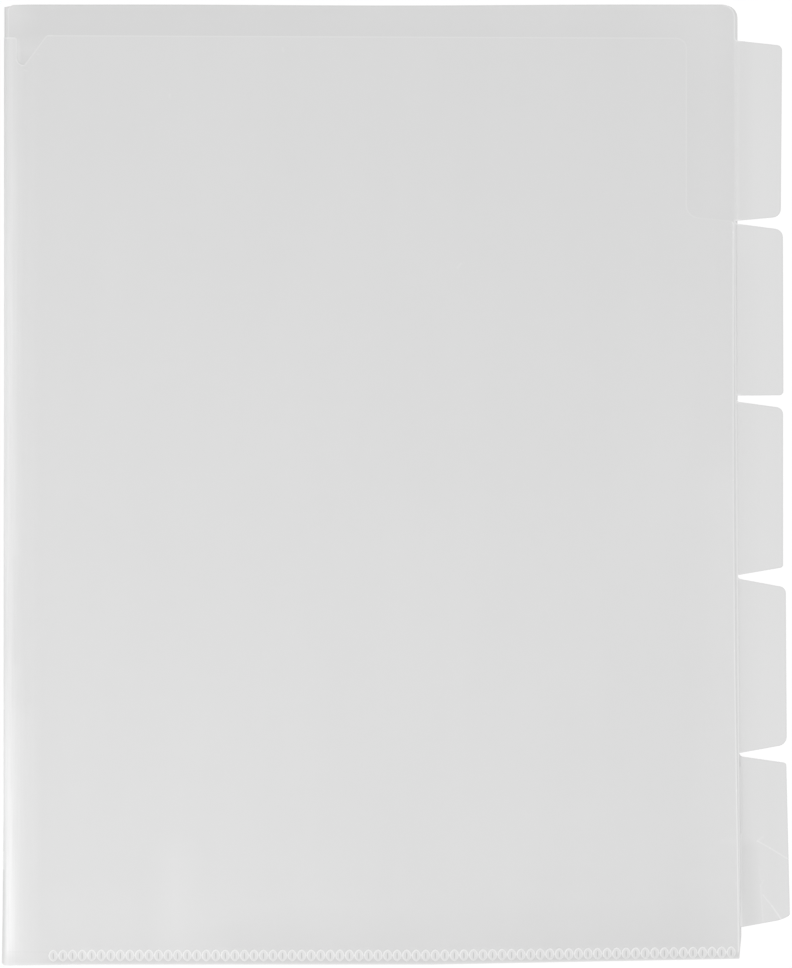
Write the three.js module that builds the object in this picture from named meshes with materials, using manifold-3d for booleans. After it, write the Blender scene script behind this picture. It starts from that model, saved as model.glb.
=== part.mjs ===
// A five-pocket index folder of frosted film, lying on its back, in millimetres.
// One outer film folds round a narrow spine into the back and the front cover, four dividers
// lie inside it, and a weld along the bottom joins all six plies. Each sheet but the cover has
// a tab at the right. The cover and the dividers flex along one slanted line, so each of them
// is a held half at the lower left and a free corner at the upper right.

import * as THREE from 'three';
import { mergeVertices } from 'three/addons/utils/BufferGeometryUtils.js';
import Module from 'manifold-3d';

// Sheets. Heights are above the bottom left corner, distances are from the spine's outer face.
const bodyWidth = 228.15;
const bodyHeight = 298.45;
const seamBend = 132.9; // the bottom edge is level up to here, then rises
const seamRise = 1.8; // to this height at its right end
const filmThickness = 0.2;
const airGap = 0.3; // between one sheet and the next
const cutGap = 0.3; // where one film is parted from its neighbour
const dividerCount = 4;
const dividerLeftInset = 1.2; // from the spine's outer face, inside the fold
const dividerRightInset = 0.9; // the back cover stands out past the dividers by this much
const sheetCornerRadius = 5.2;
const dividerLeftRadius = 1.8;
const flareHeight = 120; // both covers widen from here down
const backFlare = 1.3; // by this much at the back cover's bottom corner
const dividerFlareHeight = 240; // the dividers widen over more of their height
const dividerFlare = 1.8;

// Spine fold.
const spineHeight = 3.6;
const spineDepth = 4.2; // from its outer face to the notch beside it
const spineSettle = 9.3; // where the front cover has come down onto the sheets
const spineTopDrop = 0.9; // the fold's outer end is cut lower than the sheets
const spineTopRun = 2.2;
const spineCornerRadius = 0.8;
const foldSplay = 0.68; // the fold is pushed outwards towards the weld
const foldSplayHeight = 45;
const foldEndRadius = 1.1;

// Front cover.
const coverDrop = 10.35; // its top edge at the right is below the sheets behind by this much
const coverTopSlope = 0.8; // its top edge is this much higher at the left
const coverRightInset = 1.35;
const coverFlare = 1.85; // its right edge comes out by this much at the bottom
const coverFlareReach = 30; // how gently it starts to
const notchDepth = 8.5;
const notchFloorWidth = 2.2;
const notchFloorRadius = 1.7;
const notchSlantWidth = 6.9;
const stepCutWidth = 14.55; // the step at the top right corner shows the first tab's root
const stepCutSlant = 1.45;
const stepCutRadius = 3.8;

// Tabs, in one row down the right side.
const tabTopMargin = 12.95;
const tabBottomMargin = 11.1;
const tabGap = 1.3;
const tabCornerRadius = 2.5;
const tabRootRadius = 1.2;
const lastTabCornerRadius = 3;
// Each tab's reach past the body, the lean of its outer edge, the slant of its sides in degrees,
// and how far above the even row its sides are cut.
const tabs = [
  { reach: 13.7, lean: -0.4, upperSlant: 6.6, lowerSlant: 5.3, upperShift: 1.78, lowerShift: -0.46 },
  { reach: 14, lean: 0.15, upperSlant: 7.9, lowerSlant: 0.4, upperShift: 0.08, lowerShift: 0.41 },
  { reach: 14.1, lean: 0, upperSlant: 8.1, lowerSlant: 9.8, upperShift: -0.11, lowerShift: -0.29 },
  { reach: 15.1, lean: 0.3, upperSlant: 10.5, lowerSlant: 10.2, upperShift: -0.02, lowerShift: -0.53 },
  { reach: 15.2, lean: 1.25, upperSlant: 7.9, lowerSlant: 9.5, upperShift: -0.18, lowerShift: 0.41 },
];

// Bottom weld and its row of eye-shaped marks.
const weldStart = 14.1;
const weldEndInset = 0.5;
const weldHeight = 8;
const weldFlatHeight = 5; // above this the margin thickens to the full stack
const weldThickness = 1.3;
const markPitch = 2.968;
const markEndMargin = 1.27;
const markCentreHeight = 2.9;
const markWidth = 2.6;
const markHeight = 3.7;
const markDepth = 0.12;
const slotWidth = 0.6;
const slotHeight = 2;
const slotDepth = 0.35;

// The line along which the cover and the dividers flex.
const bendEndClearance = 1;

const sheetPitch = filmThickness + airGap;
const coverLevel = (dividerCount + 1) * sheetPitch;
const stackHeight = coverLevel + filmThickness;
const spineRadius = spineHeight / 2;
const backLeft = spineDepth + cutGap;
const coverLeft = spineSettle + cutGap;
const coverTop = bodyHeight - coverDrop;
const notchFloor = coverTop - notchDepth;
const notchTop = coverTop + coverTopSlope;
const notchCorner = spineDepth + notchFloorWidth;
const notchRight = notchCorner + notchSlantWidth;
const tabCount = dividerCount + 1;
const tabHeight =
  (bodyHeight - tabTopMargin - tabBottomMargin - (tabCount - 1) * tabGap) / tabCount;
const seamAngle = Math.atan(seamRise / (bodyWidth - seamBend));
const bendTop = new THREE.Vector2((notchCorner + notchRight) / 2, (notchFloor + notchTop) / 2);
const bendEnd = new THREE.Vector2(bodyWidth, seamRise + weldHeight + bendEndClearance);
const farAway = 4 * (bodyWidth + bodyHeight);
const curveSteps = 6;
const foldSteps = 24;

const film = { color: 0xdcdcdc, roughness: 0.45, metalness: 0 };
const foldedFilm = { color: 0xececec, roughness: 0.35, metalness: 0 };
const weldedFilm = { color: 0xe4e4e4, roughness: 0.4, metalness: 0 };

const wasm = await Module();
wasm.setup();

function solidFrom(geometry) {
  const bare = new THREE.BufferGeometry();
  const source = geometry.index ? geometry.toNonIndexed() : geometry;
  bare.setAttribute('position', source.getAttribute('position').clone());
  const merged = mergeVertices(bare, 1e-4);
  const mesh = new wasm.Mesh({
    numProp: 3,
    vertProperties: new Float32Array(merged.attributes.position.array),
    triVerts: new Uint32Array(merged.index.array),
  });
  return new wasm.Manifold(mesh);
}

function geometryFrom(solid) {
  const mesh = solid.getMesh();
  const geometry = new THREE.BufferGeometry();
  geometry.setAttribute('position', new THREE.BufferAttribute(mesh.vertProperties, 3));
  geometry.setIndex(new THREE.BufferAttribute(mesh.triVerts, 1));
  const faceted = geometry.toNonIndexed();
  faceted.computeVertexNormals();
  return faceted;
}

function point(x, y, round = 0) {
  return { x, y, round };
}

// A closed outline through its corners, each rounded from the given distance before it.
function outline(corners) {
  const shape = new THREE.Shape();
  corners.forEach((corner, i) => {
    const here = new THREE.Vector2(corner.x, corner.y);
    const before = corners[(i + corners.length - 1) % corners.length];
    const after = corners[(i + 1) % corners.length];
    const toBefore = new THREE.Vector2(before.x, before.y).sub(here);
    const toAfter = new THREE.Vector2(after.x, after.y).sub(here);
    const spare = Math.min(toBefore.length() - before.round, toAfter.length() - after.round);
    const round = Math.max(0, Math.min(corner.round, spare));
    const start = here.clone().addScaledVector(toBefore.normalize(), round);
    const end = here.clone().addScaledVector(toAfter.normalize(), round);
    if (i === 0) shape.moveTo(start.x, start.y);
    else shape.lineTo(start.x, start.y);
    if (round > 0) shape.quadraticCurveTo(here.x, here.y, end.x, end.y);
  });
  shape.closePath();
  return shape;
}

// A flat plate of an outline between two levels.
function plate(corners, low, high) {
  const geometry = new THREE.ExtrudeGeometry(outline(corners), {
    depth: high - low,
    bevelEnabled: false,
    curveSegments: curveSteps,
  });
  geometry.translate(0, 0, low);
  return solidFrom(geometry);
}

function seamAt(x) {
  return Math.max(0, x - seamBend) * Math.tan(seamAngle);
}

// Everything on one side of the bend line: side is 1 for the free corner, -1 for the held half.
function bendSide(side) {
  const along = bendEnd.clone().sub(bendTop).normalize();
  const across = new THREE.Vector2(-along.y, along.x).multiplyScalar(side);
  const near = [-farAway, farAway].map((reach) =>
    bendTop.clone().addScaledVector(along, reach).addScaledVector(across, cutGap / 2),
  );
  const far = near.map((corner) => corner.clone().addScaledVector(across, farAway)).reverse();
  const corners = [...near, ...far].map((corner) => point(corner.x, corner.y));
  return plate(corners, -spineHeight, 2 * spineHeight + stackHeight);
}

// The bottom edge of a sheet: free beside the spine, and cut back along the weld.
function bottomCorners(left, right, leftRadius = 0) {
  const free = weldStart - cutGap;
  const above = weldHeight + cutGap;
  return [
    point(left, 0, leftRadius),
    point(free, 0),
    point(free, above),
    point(seamBend, above),
    point(right, seamAt(right) + above),
  ];
}

function evenTabTopAt(index) {
  return bodyHeight - tabTopMargin - index * (tabHeight + tabGap);
}

function tabTopAt(index) {
  return evenTabTopAt(index) + tabs[index].upperShift;
}

function tabBottomAt(index) {
  return evenTabTopAt(index) - tabHeight + tabs[index].lowerShift;
}

// A tab's four corners from the lower root to the upper root, on the sheet's right edge.
function tabCorners(index, rightAt) {
  const tab = tabs[index];
  const low = tabBottomAt(index);
  const high = tabTopAt(index);
  const last = index === tabCount - 1;
  const upperDrop = tab.reach * Math.tan(THREE.MathUtils.degToRad(tab.upperSlant));
  const lowerRise = tab.reach * Math.tan(THREE.MathUtils.degToRad(tab.lowerSlant));
  const outer = bodyWidth + tab.reach;
  return [
    point(rightAt(low), low),
    point(outer + tab.lean, low + lowerRise, last ? lastTabCornerRadius : tabCornerRadius),
    point(outer, high - upperDrop, tabCornerRadius),
    point(rightAt(high), high, tabRootRadius),
  ];
}

// A sheet with its tab. Its right edge comes out below the flare's height.
function sheetCorners({ left, leftRadius, right, flare, flareFrom, tabIndex }) {
  const rightAt = (y) => right + flare * Math.max(0, 1 - y / flareFrom);
  const side = tabCorners(tabIndex, rightAt);
  const flareCorner = point(right, flareFrom);
  if (flareFrom < side[0].y) side.unshift(flareCorner);
  else if (flareFrom > side[side.length - 1].y) side.push(flareCorner);
  return [
    ...bottomCorners(left, rightAt(0)),
    ...side,
    point(right, bodyHeight, sheetCornerRadius),
    point(left, bodyHeight, leftRadius),
  ];
}

function coverCorners() {
  const right = bodyWidth - coverRightInset;
  const stepBottom = tabBottomAt(0);
  const stepLeft = right - stepCutWidth;
  return [
    ...bottomCorners(-foldSplay, right + coverFlare, foldEndRadius),
    point(right, flareHeight, coverFlareReach),
    point(right, stepBottom, tabRootRadius),
    point(stepLeft, stepBottom + stepCutSlant, stepCutRadius),
    point(stepLeft, coverTop, stepCutRadius),
    point(notchRight, notchTop, spineCornerRadius),
    point(notchCorner, notchFloor, spineCornerRadius),
    point(spineDepth, notchFloor, notchFloorRadius),
    point(spineDepth, coverTop, spineCornerRadius),
    point(-foldSplay, coverTop),
  ];
}

// The outer film seen along the spine: under, round the fold, and down onto the sheets.
function foldedOuterFilm() {
  const r = spineRadius;
  const shape = new THREE.Shape();
  const ease = (spineSettle - r) / 3;
  const coverEnd = bodyWidth + coverFlare;
  shape.moveTo(spineDepth, 0);
  shape.lineTo(r, 0);
  shape.absarc(r, r, r, 1.5 * Math.PI, 0.5 * Math.PI, true);
  const easeEnd = spineSettle - ease;
  shape.bezierCurveTo(r + ease, spineHeight, easeEnd, stackHeight, spineSettle, stackHeight);
  shape.lineTo(coverEnd, stackHeight);
  shape.lineTo(coverEnd, coverLevel);
  shape.lineTo(spineSettle, coverLevel);
  const innerTop = spineHeight - filmThickness;
  shape.bezierCurveTo(easeEnd, coverLevel, r + ease, innerTop, r, innerTop);
  shape.absarc(r, r, r - filmThickness, 0.5 * Math.PI, 1.5 * Math.PI, false);
  shape.lineTo(spineDepth, filmThickness);
  shape.closePath();
  const geometry = new THREE.ExtrudeGeometry(shape, {
    depth: bodyHeight,
    steps: foldSteps,
    bevelEnabled: false,
    curveSegments: 2 * curveSteps,
  });
  geometry.rotateX(Math.PI / 2);
  geometry.translate(0, bodyHeight, 0);
  splayFold(geometry.getAttribute('position'));
  return solidFrom(geometry);
}

// The weld beside it flattens the fold's lower end, which pushes it outwards.
function splayFold(places) {
  for (let i = 0; i < places.count; i += 1) {
    const x = places.getX(i);
    const low = Math.max(0, 1 - places.getY(i) / foldSplayHeight);
    const share = 1 - THREE.MathUtils.smoothstep(x, spineRadius, spineSettle);
    places.setX(i, x - foldSplay * low * low * share);
  }
}

// The part of the outer film between two distances from the spine's outer face.
function stripOf(outerFilm, left, right) {
  const corners = [
    point(left, -farAway),
    point(right, -farAway),
    point(right, farAway),
    point(left, farAway),
  ];
  return outerFilm.intersect(plate(corners, -spineHeight, 2 * spineHeight));
}

// The back half of the fold runs the full height, past the cover's top edge.
function spineBackHalf(outerFilm) {
  const corners = [
    point(-foldSplay, 0, foldEndRadius),
    point(spineDepth, 0),
    point(spineDepth, bodyHeight),
    point(spineTopRun, bodyHeight),
    point(0, bodyHeight - spineTopDrop),
    point(-foldSplay, bodyHeight - spineTopDrop),
  ];
  return outerFilm.intersect(plate(corners, -spineHeight, spineRadius));
}

// The fused margin of all six plies, before it is bent to the seam's rise.
function weldBand() {
  const shape = new THREE.Shape();
  shape.moveTo(0, 0);
  shape.lineTo(weldHeight, 0);
  shape.lineTo(weldHeight, stackHeight);
  shape.lineTo(weldFlatHeight, weldThickness);
  shape.lineTo(0, weldThickness);
  shape.closePath();
  const length = bodyWidth + backFlare - weldEndInset - weldStart;
  const geometry = new THREE.ExtrudeGeometry(shape, { depth: length, bevelEnabled: false });
  geometry.rotateX(Math.PI / 2);
  geometry.rotateZ(Math.PI / 2);
  geometry.translate(weldStart, 0, 0);
  return { solid: solidFrom(geometry), length };
}

function eyeOutline(width, height) {
  const shape = new THREE.Shape();
  shape.moveTo(0, height / 2);
  shape.quadraticCurveTo(-width, 0, 0, -height / 2);
  shape.quadraticCurveTo(width, 0, 0, height / 2);
  return shape;
}

function pressedMark(shape, depth, x) {
  const geometry = new THREE.ExtrudeGeometry(shape, {
    depth: spineHeight,
    bevelEnabled: false,
    curveSegments: curveSteps / 2,
  });
  geometry.translate(x, markCentreHeight, weldThickness - depth);
  return solidFrom(geometry);
}

// The part right of the seam's bend, turned to follow the bottom edge.
function bentToSeam(solid) {
  const level = solid.trimByPlane([-1, 0, 0], -seamBend);
  const rising = solid.trimByPlane([1, 0, 0], seamBend).translate([-seamBend, 0, 0]);
  const turned = rising.rotate([0, 0, THREE.MathUtils.radToDeg(seamAngle)]);
  return level.add(turned.translate([seamBend, 0, 0]));
}

function bottomWeld() {
  const band = weldBand();
  const eye = eyeOutline(markWidth, markHeight);
  const slot = eyeOutline(slotWidth, slotHeight);
  const markCount = Math.floor((band.length - 2 * markEndMargin) / markPitch) + 1;
  let solid = band.solid;
  for (let i = 0; i < markCount; i += 1) {
    const x = weldStart + markEndMargin + i * markPitch;
    solid = solid.subtract(pressedMark(eye, markDepth, x));
    solid = solid.subtract(pressedMark(slot, slotDepth, x));
  }
  return bentToSeam(solid);
}

function piece(name, solid, look) {
  const material = new THREE.MeshStandardMaterial(look);
  const mesh = new THREE.Mesh(geometryFrom(solid), material);
  mesh.name = name;
  return mesh;
}

const folder = new THREE.Group();
const sheets = new THREE.Group();
folder.add(sheets);

const held = bendSide(-1);
const free = bendSide(1);
const outerFilm = foldedOuterFilm();

const backCorners = sheetCorners({
  left: backLeft,
  leftRadius: 0,
  right: bodyWidth,
  flare: backFlare,
  flareFrom: flareHeight,
  tabIndex: tabCount - 1,
});
sheets.add(piece('back_cover', plate(backCorners, 0, filmThickness), film));
sheets.add(piece('spine_fold_back', spineBackHalf(outerFilm), foldedFilm));

const frontBlank = plate(coverCorners(), spineRadius, 2 * spineHeight);
const frontFilm = outerFilm.intersect(frontBlank);
sheets.add(piece('spine_fold_front', stripOf(frontFilm, -farAway, spineSettle), foldedFilm));
const cover = stripOf(frontFilm, coverLeft, farAway);
sheets.add(piece('front_cover', cover.intersect(held), film));
sheets.add(piece('front_cover_corner', cover.intersect(free), film));

for (let number = 1; number <= dividerCount; number += 1) {
  const low = (dividerCount + 1 - number) * sheetPitch;
  const corners = sheetCorners({
    left: dividerLeftInset,
    leftRadius: dividerLeftRadius,
    right: bodyWidth - dividerRightInset,
    flare: dividerFlare,
    flareFrom: dividerFlareHeight,
    tabIndex: number - 1,
  });
  const sheet = plate(corners, low, low + filmThickness);
  sheets.add(piece(`divider_${number}`, sheet.intersect(held), film));
  sheets.add(piece(`divider_${number}_corner`, sheet.intersect(free), film));
}

sheets.add(piece('bottom_weld', bottomWeld(), weldedFilm));

// The origin lies under the middle of the whole folder, on the surface that it rests on.
const box = new THREE.Box3().setFromObject(sheets);
const middle = box.getCenter(new THREE.Vector3());
sheets.position.set(-middle.x, -middle.y, -box.min.z);

export default folder;
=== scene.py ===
import math

import bmesh
import bpy
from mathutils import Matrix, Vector


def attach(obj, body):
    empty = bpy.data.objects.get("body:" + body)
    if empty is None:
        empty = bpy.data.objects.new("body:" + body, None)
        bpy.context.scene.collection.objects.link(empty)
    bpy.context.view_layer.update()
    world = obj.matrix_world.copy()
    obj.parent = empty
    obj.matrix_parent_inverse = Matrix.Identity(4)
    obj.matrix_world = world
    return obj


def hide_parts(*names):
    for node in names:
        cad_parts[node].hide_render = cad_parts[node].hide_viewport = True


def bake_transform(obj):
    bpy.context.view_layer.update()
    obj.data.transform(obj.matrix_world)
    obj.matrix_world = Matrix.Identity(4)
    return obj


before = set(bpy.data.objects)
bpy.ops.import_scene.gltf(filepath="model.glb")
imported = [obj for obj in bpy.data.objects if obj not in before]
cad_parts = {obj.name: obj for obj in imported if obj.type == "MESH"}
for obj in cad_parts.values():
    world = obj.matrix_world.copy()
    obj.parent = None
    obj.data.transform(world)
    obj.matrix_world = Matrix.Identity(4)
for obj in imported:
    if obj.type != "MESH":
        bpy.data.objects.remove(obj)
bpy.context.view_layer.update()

# A five-pocket index folder of frosted film, lying on its back and seen from straight above.
# Lengths in the dictionaries are millimetres, from the spine's outer face, the bottom edge and the table,
# apart from those that are marked as metres.
folder = {
    "middleX": 121.9326,        # the frame's origin in those millimetres
    "middleY": 149.2250,
    "bodyWidth": 228.15,
    "bodyHeight": 298.45,
    "film": 0.2,
    "pitch": 0.5,               # from one sheet to the next
    "cutEdge": 0.42,            # width of the cut edge's line of painted highlight and shade
    "grid": 4.0,                # size of the net that lets a sheet bend
    # each tab's root from top to bottom, how far it stands out, how its outer edge leans, its sides' slant
    # in degrees, and how round its two outer corners are
    "tabs": [
        {"top": 287.28, "bottom": 231.20, "reach": 13.7, "lean": -0.4,
         "upper": 6.6, "lower": 5.3, "rounds": (1.5, 2.4)},
        {"top": 230.44, "bottom": 176.93, "reach": 14.0, "lean": 0.15,
         "upper": 7.9, "lower": 0.4, "rounds": (2.3, 1.3)},
        {"top": 175.11, "bottom": 121.09, "reach": 14.1, "lean": 0.0,
         "upper": 8.1, "lower": 9.8, "rounds": (1.9, 0.8)},
        {"top": 120.06, "bottom": 65.71, "reach": 15.0, "lean": 0.3,
         "upper": 10.5, "lower": 10.2, "rounds": (1.7, 2.4)},
        # its lower corner is cut off, this far across and up
        {"top": 64.76, "bottom": 11.51, "reach": 15.2, "lean": 1.12,
         "upper": 7.9, "lower": 9.5, "rounds": (0.8, 0.5), "cut": (2.7, 1.15), "cutRound": 1.5},
    ],
    "tabRoot": 1.0,             # the round inner corner above each tab
    "cornerRound": 3.9,         # the sheets' top right corner
    "cornerSteps": 5,
    "seamKink": 132.9,          # the bottom edge is straight to here, then rises to the right
    "seamRise": 1.8,
    "seamEnd": 228.7,           # the fused margin ends here, and the sheets widen to seamEndHeight
    "seamEndHeight": 9.0,
    "seamEndRound": 0.4,
    "flare": 1.3,               # the outer film widens by this much, from flareHeight down
    "flareHeight": 120.0,
    "dividerLeft": 1.2,
    "dividerLeftRound": 1.8,
    "dividerInset": 0.9,        # the back film stands out past the dividers by this much
    "dividerFlare": 1.8,
    "dividerFlareHeight": 240.0,
    "dividers": 4,
}
bodyHeight = folder["bodyHeight"]
bodyWidth = folder["bodyWidth"]
seamKink = folder["seamKink"]
seamRise = folder["seamRise"]


def place(x, y, z):
    return Vector(((x - folder["middleX"]) / 1000, (y - folder["middleY"]) / 1000, z / 1000))


def smooth(low, high, value):
    t = min(max((value - low) / (high - low), 0.0), 1.0)
    return t * t * (3 - 2 * t)


# ---- camera: straight above, far enough for the long lens to show the folder almost without perspective
cameraSetup = {
    "lens": 150.0,
    "sensor": 36.0,
    "pixelsPerMm": 3.2175,      # at this level above the table
    "level": 2.0,
    "backPixelsPerMm": 3.2129,  # on the back film, which is further away
    "imageWidth": 792,
    "imageHeight": 968,
    "middle": (121.868, 149.45),  # the point in the middle of the picture
}


def makeCamera(c):
    data = bpy.data.cameras.new("camera")
    data.lens = c["lens"]
    data.sensor_width = c["sensor"]
    data.sensor_fit = "AUTO"
    data.clip_start = 0.01
    camera = bpy.data.objects.new("camera", data)
    bpy.context.scene.collection.objects.link(camera)
    distance = c["lens"] * (c["imageHeight"] / c["pixelsPerMm"]) / c["sensor"]
    camera.location = place(c["middle"][0], c["middle"][1], c["level"] + distance)
    bpy.context.scene.camera = camera
    print("camera %.0f mm above the film" % distance)


makeCamera(cameraSetup)

# ---- finishes
filmLook = {
    "colour": 0.726,            # a dense ply of frosted polypropylene, neutral
    "coverColour": 0.754,
    "solid": 0.85,              # how much of what lies behind one ply it hides
    "lampShare": 0.1,           # a ply lets most of the lamps' light through to the next
    "edgeLampShare": 0.03,      # and its cut edge throws hardly any shadow beside it
    "roughness": 0.5,
    "roughnessSpread": 0.12,
    "ior": 1.49,
    "bumpStrength": 0.12,
    "bumpDistance": 0.00003,    # metres, and so are the grain's and the clouds' sizes
    "grainSize": 0.00035,
    "cloudSize": 0.05,
    "streaks": (70.0, 9.0, 1.0),  # to the metre, across and up the sheet
    "edgeTone": 0.70,           # painted shade on a cut edge that is part of the outline
    "dividerEdgeTone": 0.81,    # and painted highlight on one that lies on other film
    # painted highlight on the cover's cut edges
    "coverEdgeTone": 0.79,
    "dividerCloud": 0.016,
}


def socketOf(node, name):
    return next(s for s in node.inputs if s.name == name and s.enabled)


def newGroup(name, inputs, outputs):
    group = bpy.data.node_groups.new(name, "ShaderNodeTree")
    for label, kind, value in inputs:
        socket = group.interface.new_socket(label, in_out="INPUT", socket_type=kind)
        if value is not None:
            socket.default_value = value
    for label, kind in outputs:
        group.interface.new_socket(label, in_out="OUTPUT", socket_type=kind)
    return group, group.nodes.new("NodeGroupInput"), group.nodes.new("NodeGroupOutput")


def mathNode(tree, operation, *values, clamp=False):
    node = tree.nodes.new("ShaderNodeMath")
    node.operation = operation
    node.use_clamp = clamp
    for i, value in enumerate(values):
        if isinstance(value, bpy.types.NodeSocket):
            tree.links.new(value, node.inputs[i])
        else:
            node.inputs[i].default_value = value
    return node.outputs[0]


def rampNode(tree, factor, stops, interpolation="EASE"):
    node = tree.nodes.new("ShaderNodeValToRGB")
    ramp = node.color_ramp
    ramp.interpolation = interpolation
    while len(ramp.elements) < len(stops):
        ramp.elements.new(0.5)
    for element, (position, value) in zip(ramp.elements, stops):
        element.position = position
        element.color = (value, value, value, 1)
    tree.links.new(factor, node.inputs[0])
    return node.outputs[0]


def axesOf(tree, vector):
    node = tree.nodes.new("ShaderNodeSeparateXYZ")
    tree.links.new(vector, node.inputs[0])
    return node.outputs["X"], node.outputs["Y"]


def stretched(tree, vector, scale):
    node = tree.nodes.new("ShaderNodeMapping")
    node.inputs["Scale"].default_value = scale
    tree.links.new(vector, node.inputs["Vector"])
    return node.outputs[0]


def rangeNode(tree, value, low, high, toLow=0.0, toHigh=1.0):
    node = tree.nodes.new("ShaderNodeMapRange")
    tree.links.new(value, node.inputs["Value"])
    for name, number in (("From Min", low), ("From Max", high), ("To Min", toLow), ("To Max", toHigh)):
        socketOf(node, name).default_value = number
    return node.outputs["Result"]


def noiseNode(tree, vector, scale, detail=2.0, roughness=0.5):
    node = tree.nodes.new("ShaderNodeTexNoise")
    tree.links.new(vector, node.inputs["Vector"])
    node.inputs["Scale"].default_value = scale
    node.inputs["Detail"].default_value = detail
    node.inputs["Roughness"].default_value = roughness
    return node.outputs[0]


# The film's fine matt grain and its broad, faint clouds. Tone lies round 1, Height round 0.5.
def filmGrainGroup():
    group, start, end = newGroup(
        "filmGrain",
        [("Vector", "NodeSocketVector", None), ("Grain Amount", "NodeSocketFloat", 0.01),
         ("Cloud Amount", "NodeSocketFloat", 0.02)],
        [("Tone", "NodeSocketFloat"), ("Height", "NodeSocketFloat")])
    vector = start.outputs["Vector"]
    grain = noiseNode(group, vector, 1 / filmLook["grainSize"], detail=3.0, roughness=0.6)
    cloud = noiseNode(group, vector, 1 / filmLook["cloudSize"], detail=3.0, roughness=0.55)
    streak = noiseNode(group, stretched(group, vector, filmLook["streaks"]), 1.0)
    grainTone = mathNode(group, "MULTIPLY", mathNode(group, "SUBTRACT", grain, 0.5),
                         start.outputs["Grain Amount"])
    cloudSum = mathNode(group, "ADD", mathNode(group, "SUBTRACT", cloud, 0.5),
                        mathNode(group, "SUBTRACT", streak, 0.5))
    cloudTone = mathNode(group, "MULTIPLY", cloudSum, start.outputs["Cloud Amount"])
    tone = mathNode(group, "ADD", mathNode(group, "ADD", grainTone, cloudTone), 1.0)
    group.links.new(tone, end.inputs["Tone"])
    group.links.new(grain, end.inputs["Height"])
    return group


# Film that has been folded round the spine goes pale, and this mask also paints the highlight that the
# rounded fold catches, strongest towards the bottom. There are two bands of it, each with its profile
# across the fold and its strength up the sheet.
foldLook = {
    "reach": 0.012,             # metres
    "even": [(0.0, 0.75), (0.03, 0.65), (0.08, 0.54), (0.14, 0.5), (0.24, 0.4), (0.38, 0.26), (0.55, 0.13),
             (0.8, 0.03), (1.0, 0.0)],
    "evenUp": [(0.0, 0.26), (0.07, 0.28), (0.11, 0.44), (0.17, 0.62), (0.215, 0.68), (0.276, 0.62),
               (0.338, 0.51), (0.48, 0.54), (0.64, 0.56), (0.8, 0.43), (0.94, 0.28), (1.0, 0.22)],
    "inner": [(0.0, 0.0), (0.04, 0.1), (0.07, 0.45), (0.12, 0.95), (0.16, 1.0), (0.21, 0.85), (0.26, 0.6),
              (0.45, 0.25), (0.7, 0.06), (1.0, 0.0)],
    "innerUp": [(0.0, 0.1), (0.007, 0.2), (0.016, 0.58), (0.03, 0.72), (0.07, 0.72), (0.13, 0.34),
                (0.2, 0.06), (0.27, 0.0)],
    "streaks": (900.0, 25.0, 1.0),
    "streakTones": (0.72, 1.16),
    "tone": 0.98,
    "hides": 0.12,              # how much more of what lies behind it the pale film hides
    "backAmount": 0.35,         # the back film gets this much of the pallor and painted highlight, for the cover's 1
}


def foldPaleAndSheenGroup():
    group, start, end = newGroup(
        "foldPaleAndSheen", [("Vector", "NodeSocketVector", None), ("Amount", "NodeSocketFloat", 1.0)],
        [("Mask", "NodeSocketFloat")])
    x, y = axesOf(group, start.outputs["Vector"])
    left = place(0, 0, 0).x
    across = rangeNode(group, x, left, left + foldLook["reach"])
    up = rangeNode(group, y, place(0, 0, 0).y, place(0, bodyHeight, 0).y)
    even = rampNode(group, across, foldLook["even"], "LINEAR")
    evenUp = rampNode(group, up, foldLook["evenUp"], "LINEAR")
    inner = rampNode(group, across, foldLook["inner"], "LINEAR")
    innerUp = rampNode(group, up, foldLook["innerUp"], "LINEAR")
    profile = mathNode(group, "MULTIPLY_ADD", even, mathNode(group, "MULTIPLY", evenUp, 2.0),
                       mathNode(group, "MULTIPLY", inner, innerUp))
    noise = noiseNode(group, stretched(group, start.outputs["Vector"], foldLook["streaks"]), 1.0,
                      detail=3.0, roughness=0.6)
    streak = rangeNode(group, noise, 0.25, 0.75, *foldLook["streakTones"])
    mask = mathNode(group, "MULTIPLY", profile, streak)
    mask = mathNode(group, "MULTIPLY", mask, start.outputs["Amount"], clamp=True)
    group.links.new(mask, end.inputs["Mask"])
    return group


# A thin line on the film between two points, such as a crease or a scratch.
def creaseGroup():
    group, start, end = newGroup(
        "crease",
        [("Vector", "NodeSocketVector", None), ("From", "NodeSocketVector", None),
         ("Reach", "NodeSocketVector", None), ("Width", "NodeSocketFloat", 0.0004)],
        [("Mask", "NodeSocketFloat")])

    def vectorNode(operation, a, b):
        node = group.nodes.new("ShaderNodeVectorMath")
        node.operation = operation
        group.links.new(a, node.inputs[0])
        if b is not None:
            group.links.new(b, node.inputs["Scale"] if operation == "SCALE" else node.inputs[1])
        return node

    flat = group.nodes.new("ShaderNodeVectorMath")
    flat.operation = "MULTIPLY"
    flat.inputs[1].default_value = (1, 1, 0)
    group.links.new(start.outputs["Vector"], flat.inputs[0])
    away = vectorNode("SUBTRACT", flat.outputs[0], start.outputs["From"])
    reach = start.outputs["Reach"]
    along = vectorNode("DOT_PRODUCT", away.outputs[0], reach).outputs["Value"]
    square = vectorNode("DOT_PRODUCT", reach, reach).outputs["Value"]
    share = mathNode(group, "DIVIDE", along, square, clamp=True)
    nearest = vectorNode("SCALE", reach, share)
    gap = vectorNode("SUBTRACT", away.outputs[0], nearest.outputs[0])
    distance = vectorNode("LENGTH", gap.outputs[0], None).outputs["Value"]
    fall = mathNode(group, "DIVIDE", distance, start.outputs["Width"])
    mask = mathNode(group, "SUBTRACT", 1.0, fall, clamp=True)
    group.links.new(mask, end.inputs["Mask"])
    return group


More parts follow.
